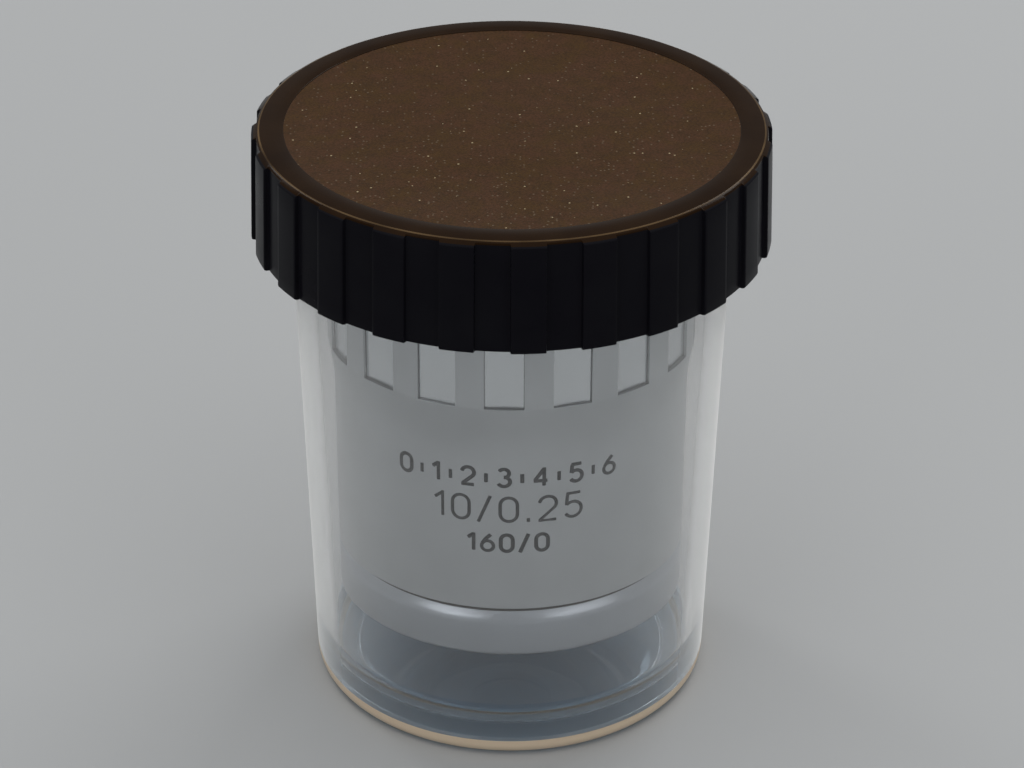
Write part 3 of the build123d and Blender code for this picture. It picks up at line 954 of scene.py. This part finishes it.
# Single-line numerals in a box one high, as an engraving cutter draws them
STROKES = {
    "0": (0.6, [arc(0.3, 0.68, 0.3, 0.32, 0, 180) + arc(0.3, 0.32, 0.3, 0.32, 180, 360) + [(0.6, 0.68)]]),
    "1": (0.34, [[(0.02, 0.74), (0.3, 0.98)], [(0.3, 1.04), (0.3, 0.0)]]),
    "2": (0.6, [arc(0.3, 0.7, 0.3, 0.3, 170, -35) + [(0.03, 0.03)], [(-0.03, 0.0), (0.6, 0.0)]]),
    "3": (0.6, [arc(0.29, 0.76, 0.25, 0.24, 150, -90), arc(0.29, 0.27, 0.3, 0.27, 90, -155)]),
    "4": (0.64, [[(0.48, 0.0), (0.48, 1.04)], [(0.48, 0.98), (0.02, 0.3)], [(-0.03, 0.28), (0.64, 0.28)]]),
    "5": (
        0.6,
        [[(0.54, 1.0), (0.03, 1.0)], [(0.08, 0.99), (0.04, 0.53)], arc(0.28, 0.32, 0.31, 0.32, 138, -150)],
    ),
    "6": (0.6, [[(0.46, 1.0), (0.2, 0.72), (0.05, 0.46)] + arc(0.3, 0.3, 0.3, 0.3, 155, -205, 22)]),
    "/": (0.44, [[(0.0, -0.06), (0.42, 1.06)]]),
    ".": (0.12, [[(0.06, -0.02), (0.06, 0.13)]]),
    "|": (0.1, [[(0.05, 0.22), (0.05, 0.72)]]),
}


class OBJECTIVE_OT_engraving(bpy.types.Operator):
    """Three rows of plain engraved numbers on the front of the barrel"""

    bl_idname = "objective.engraving"
    bl_label = "Engraving"

    def execute(self, context):
        settings = context.scene.cased_objective.objective

        # Name, numbers, height of the lower edge, size, angles of the two ends in degrees, and stroke width
        rows = (
            ("top", "0|1|2|3|4|5|6", 28.7, 1.8, -35, 33, settings.small_stroke),
            ("middle", "10/0.25", 25.0, 2.5, -23.5, 22, settings.large_stroke),
            ("low", "160/0", 21.8, 1.75, -13, 11.5, settings.small_stroke),
        )
        tree = stroke_tree()
        for place, text, base, size, left, right, stroke in rows:
            radius = BARREL_R - stroke / MM * 0.34  # so deep that only a flat line of paint shows
            points, edges = [], []
            widths = [STROKES[letter][0] * size for letter in text]
            room = radians(right - left) * BARREL_R
            space = (room - sum(widths)) / (len(text) - 1)
            at = radians(left) * BARREL_R
            for letter, width in zip(text, widths):
                for path in STROKES[letter][1]:
                    first = len(points)
                    for x, y in path:
                        turn = FRONT + (at + x * size) / BARREL_R
                        points.append(Vector((radius * cos(turn), radius * sin(turn), base + y * size)) * MM)
                    edges += [(index, index + 1) for index in range(first, len(points) - 1)]
                at += width + space
            seed = bpy.data.meshes.new("number_paths")
            seed.from_pydata(points, edges, [])
            values = {"Radius": stroke / 2, "Material": finish("paint")}
            mesh = outward(grown(f"numbers_{place}", seed, tree, values))
            new_piece(f"numbers_{place}", mesh, finish("paint"), "objective", (), 60)
        return {"FINISHED"}


class OBJECTIVE_OT_nose(bpy.types.Operator):
    """Nose ring, ring mirror, front cell and front lens"""

    bl_idname = "objective.nose"
    bl_label = "Nose"

    def execute(self, context):
        ledge = NOSE_Z + 0.8
        ring = [
            (NOSE_BORE, NOSE_Z, 0.1),
            (BARREL_R, NOSE_Z, 0.45),
            (BARREL_R, NOSE_TOP - 0.9, 1.5),
            (BARREL_R - 0.6, NOSE_TOP, 0.3),
            (GROOVE_R, NOSE_TOP, 0),
            (GROOVE_R, BARREL_Z, 0),
            (SPIGOT_R, BARREL_Z, 0),
            (SPIGOT_R, SPIGOT_Z, 0.1),
            (SPIGOT_BORE, SPIGOT_Z, 0.05),
            (SPIGOT_BORE, ledge, 0),
            (NOSE_BORE, ledge, 0.1),
        ]
        tall, widening, bulge = 6.9, 1.7, 1.4
        hollow = [
            (MIRROR_THROAT + widening * share + bulge * share * (1 - share), ledge + tall * share, 0)
            for share in (0.9, 0.8, 0.7, 0.6, 0.5, 0.4, 0.3, 0.2, 0.1)
        ]
        mirror = [
            (MIRROR_THROAT, ledge, 0),
            (MIRROR_R, ledge, 0),
            (MIRROR_R, ledge + tall, 0),
            (MIRROR_THROAT + widening, ledge + tall, 0),
            *hollow,
        ]
        low = NOSE_Z + 0.3
        cell = [
            (4.1, low, 0.08),
            (5.6, low, 0.15),
            (9.6, low + 3.1, 0.1),
            (7.96, low + 3.1, 0),
            (7.96, low + 5.3, 0),
            (LENS_R + 0.04, low + 5.3, 0),
            (LENS_R + 0.04, low + 0.6, 0),
            (4.1, low + 0.6, 0),
        ]
        pieces = (
            ("nose_satin", "nose_ring", "satin_nose_shaded", "satin_chrome", ring),
            ("ring_mirror", "annular_mirror", "mirror", "ring_mirror", mirror),
            ("front_cell_satin", "front_cell", "satin", "satin_chrome", cell),
        )
        for name, node, look, slot, corners in pieces:
            mesh = turned(name, rounded(corners, 6))
            new_piece(name, mesh, finish(look), "objective", [node], 25)

        # Front lens: flat below, with a ball-shaped top
        flat, apex, rise = low + 0.6, low + 4.0, 1.5
        ball = (LENS_R**2 + rise**2) / (2 * rise)
        across = [LENS_R * (step / 12) for step in range(12, -1, -1)]
        dome = [(radius, apex - ball + sqrt(ball**2 - radius**2)) for radius in across]
        mesh = turned("front_lens_glass", [(0, flat), (LENS_R, flat)] + dome, 96)
        new_piece("front_lens_glass", mesh, finish("glass"), "objective", ["front_lens"], 25)
        return {"FINISHED"}


class OBJECTIVE_OT_inner_parts(bpy.types.Operator):
    """Finishes of the rear mount, lens tube, cells, lenses and rings"""

    bl_idname = "objective.inner_parts"
    bl_label = "Inner parts"

    def execute(self, context):
        looks = {
            "satin_chrome": "satin",
            "black_oxide": "black",
            "brass": "brass",
            "ring_mirror": "mirror",
            "optical_glass": "glass",
            "clear_plastic": "clear",
            "black_phenolic": "cap",
        }
        for part in frame["record"]["subparts"]:
            node = frame["nodes"][part["node"]]
            if node.hide_render:
                continue
            node.data.materials.clear()
            node.data.materials.append(finish(looks[part["material_slot"]]))
        return {"FINISHED"}


# Stage


def add_floor(scene, color):
    """A floor just below the foot, so that the two don't share a plane."""
    side, low = 6.0, -0.03 * MM
    corners = [(-side, -side, low), (side, -side, low), (side, side, low), (-side, side, low)]
    mesh = bpy.data.meshes.new("floor")
    mesh.from_pydata(corners, [], [(0, 1, 2, 3)])
    floor = bpy.data.objects.new("floor", mesh)
    scene.collection.objects.link(floor)
    material, tree, shader, place = new_finish("pale floor", {"Roughness": 0.6, "Specular IOR Level": 0.3})
    soft = noise(tree, place, 3.0, 1)
    shade = blend(tree, between(tree, soft, 0, 1), (*[part * 0.97 for part in color], 1), (*color, 1))
    tree.links.new(shade, shader.inputs["Base Color"])
    mesh.materials.append(material)


def add_surroundings(scene, strength):
    """Even surroundings, brighter overhead."""
    world = bpy.data.worlds.new("soft surroundings")
    scene.world = world
    world.use_nodes = True
    tree = world.node_tree
    sky = tree.nodes["Background"]
    sky.inputs["Color"].default_value = (0.97, 0.985, 1.0, 1)
    way = add_node(tree, "ShaderNodeTexCoord").outputs["Generated"]
    rise = add_node(tree, "ShaderNodeSeparateXYZ", {"Vector": way}).outputs["Z"]
    span = {"From Min": 0.6, "From Max": 0.85, "To Min": strength * 0.3, "To Max": strength}
    glow = add_node(tree, "ShaderNodeMapRange", {"Value": rise, **span})
    tree.links.new(glow.outputs[0], sky.inputs["Strength"])


def add_lamp(scene, name, place, wide, high, power):
    """A flat lamp that faces the middle of the object."""
    data = bpy.data.lights.new(name, "AREA")
    data.shape, data.size, data.size_y, data.energy = "RECTANGLE", wide, high, power
    lamp = bpy.data.objects.new(name, data)
    lamp.location = place
    lamp.rotation_euler = (Vector((0, 0, 0.03)) - Vector(place)).to_track_quat("-Z", "Y").to_euler()
    scene.collection.objects.link(lamp)


# The camera's place in metres, angles in degrees and lens in millimetres, as fitted to the object's ellipses
CAMERA_PLACE = (0.0, -0.24223, 0.1721)
CAMERA_DOWN, CAMERA_YAW, CAMERA_ROLL = 30.544, 0.023, 0.262
CAMERA_LENS, CAMERA_SENSOR = 105.47, 36.0


def add_camera(scene):
    """The scene's camera."""
    down, yaw, roll = radians(CAMERA_DOWN), radians(CAMERA_YAW), radians(CAMERA_ROLL)
    ahead = Vector((sin(yaw) * cos(down), cos(yaw) * cos(down), -sin(down)))
    right = Vector((cos(yaw), -sin(yaw), 0))
    up = right.cross(ahead)
    tilted = cos(roll) * right + sin(roll) * up
    upright = cos(roll) * up - sin(roll) * right
    lens = bpy.data.cameras.new("camera")
    lens.sensor_width, lens.sensor_fit, lens.lens = CAMERA_SENSOR, "HORIZONTAL", CAMERA_LENS
    lens.clip_start, lens.clip_end = 0.01, 50.0
    camera = bpy.data.objects.new("camera", lens)
    camera.matrix_world = Matrix((tilted, upright, -ahead)).transposed().to_4x4()
    camera.location = CAMERA_PLACE
    scene.collection.objects.link(camera)
    scene.camera = camera


class OBJECTIVE_OT_stage(bpy.types.Operator):
    """Pale floor, soft lamps and the camera"""

    bl_idname = "objective.stage"
    bl_label = "Stage"

    def execute(self, context):
        scene = context.scene
        settings = scene.cased_objective.stage
        key, fill = settings.key_power, settings.fill_power
        add_floor(scene, settings.floor_color)
        add_surroundings(scene, settings.sky_strength)
        add_lamp(scene, "right_back_lamp", (0.35, 0.45, 0.55), 0.4, 0.2, key)
        add_lamp(scene, "left_back_lamp", (-0.38, 0.42, 0.5), 0.14, 0.3, key * 0.4)
        add_lamp(scene, "left_front_lamp", (-0.43, -0.58, 0.3), 0.38, 0.28, fill * 0.9)
        add_lamp(scene, "right_front_lamp", (0.5, -0.53, 0.3), 0.5, 0.28, fill * 0.8)
        add_camera(scene)
        scene.view_settings.view_transform = "Standard"
        return {"FINISHED"}


class CasedObjectiveSettings(bpy.types.PropertyGroup):
    """All settings of the cased objective."""

    case: PointerProperty(type=CaseSettings)
    objective: PointerProperty(type=ObjectiveSettings)
    stage: PointerProperty(type=StageSettings)


class OBJECTIVE_PT_panel(bpy.types.Panel):
    """The steps in the order in which they run"""

    bl_label = "Cased objective"
    bl_space_type = "VIEW_3D"
    bl_region_type = "UI"
    bl_category = "Objective"

    def draw(self, context):
        settings = context.scene.cased_objective
        for group in (settings.case, settings.objective, settings.stage):
            box = self.layout.box()
            for name in group.__annotations__:
                box.prop(group, name)
        for step in STEPS:
            self.layout.operator(step.bl_idname)


STEPS = (
    OBJECTIVE_OT_jar,
    OBJECTIVE_OT_cap,
    OBJECTIVE_OT_barrel,
    OBJECTIVE_OT_engraving,
    OBJECTIVE_OT_nose,
    OBJECTIVE_OT_inner_parts,
    OBJECTIVE_OT_stage,
)
CLASSES = (CaseSettings, ObjectiveSettings, StageSettings, CasedObjectiveSettings, *STEPS, OBJECTIVE_PT_panel)


def register():
    for item in CLASSES:
        bpy.utils.register_class(item)
    bpy.types.Scene.cased_objective = PointerProperty(type=CasedObjectiveSettings)


def unregister():
    del bpy.types.Scene.cased_objective
    for item in reversed(CLASSES):
        bpy.utils.unregister_class(item)


def main():
    register()
    bpy.ops.objective.jar()
    bpy.ops.objective.cap()
    bpy.ops.objective.barrel()
    bpy.ops.objective.engraving()
    bpy.ops.objective.nose()
    bpy.ops.objective.inner_parts()
    bpy.ops.objective.stage()


if __name__ == "__main__":
    main()
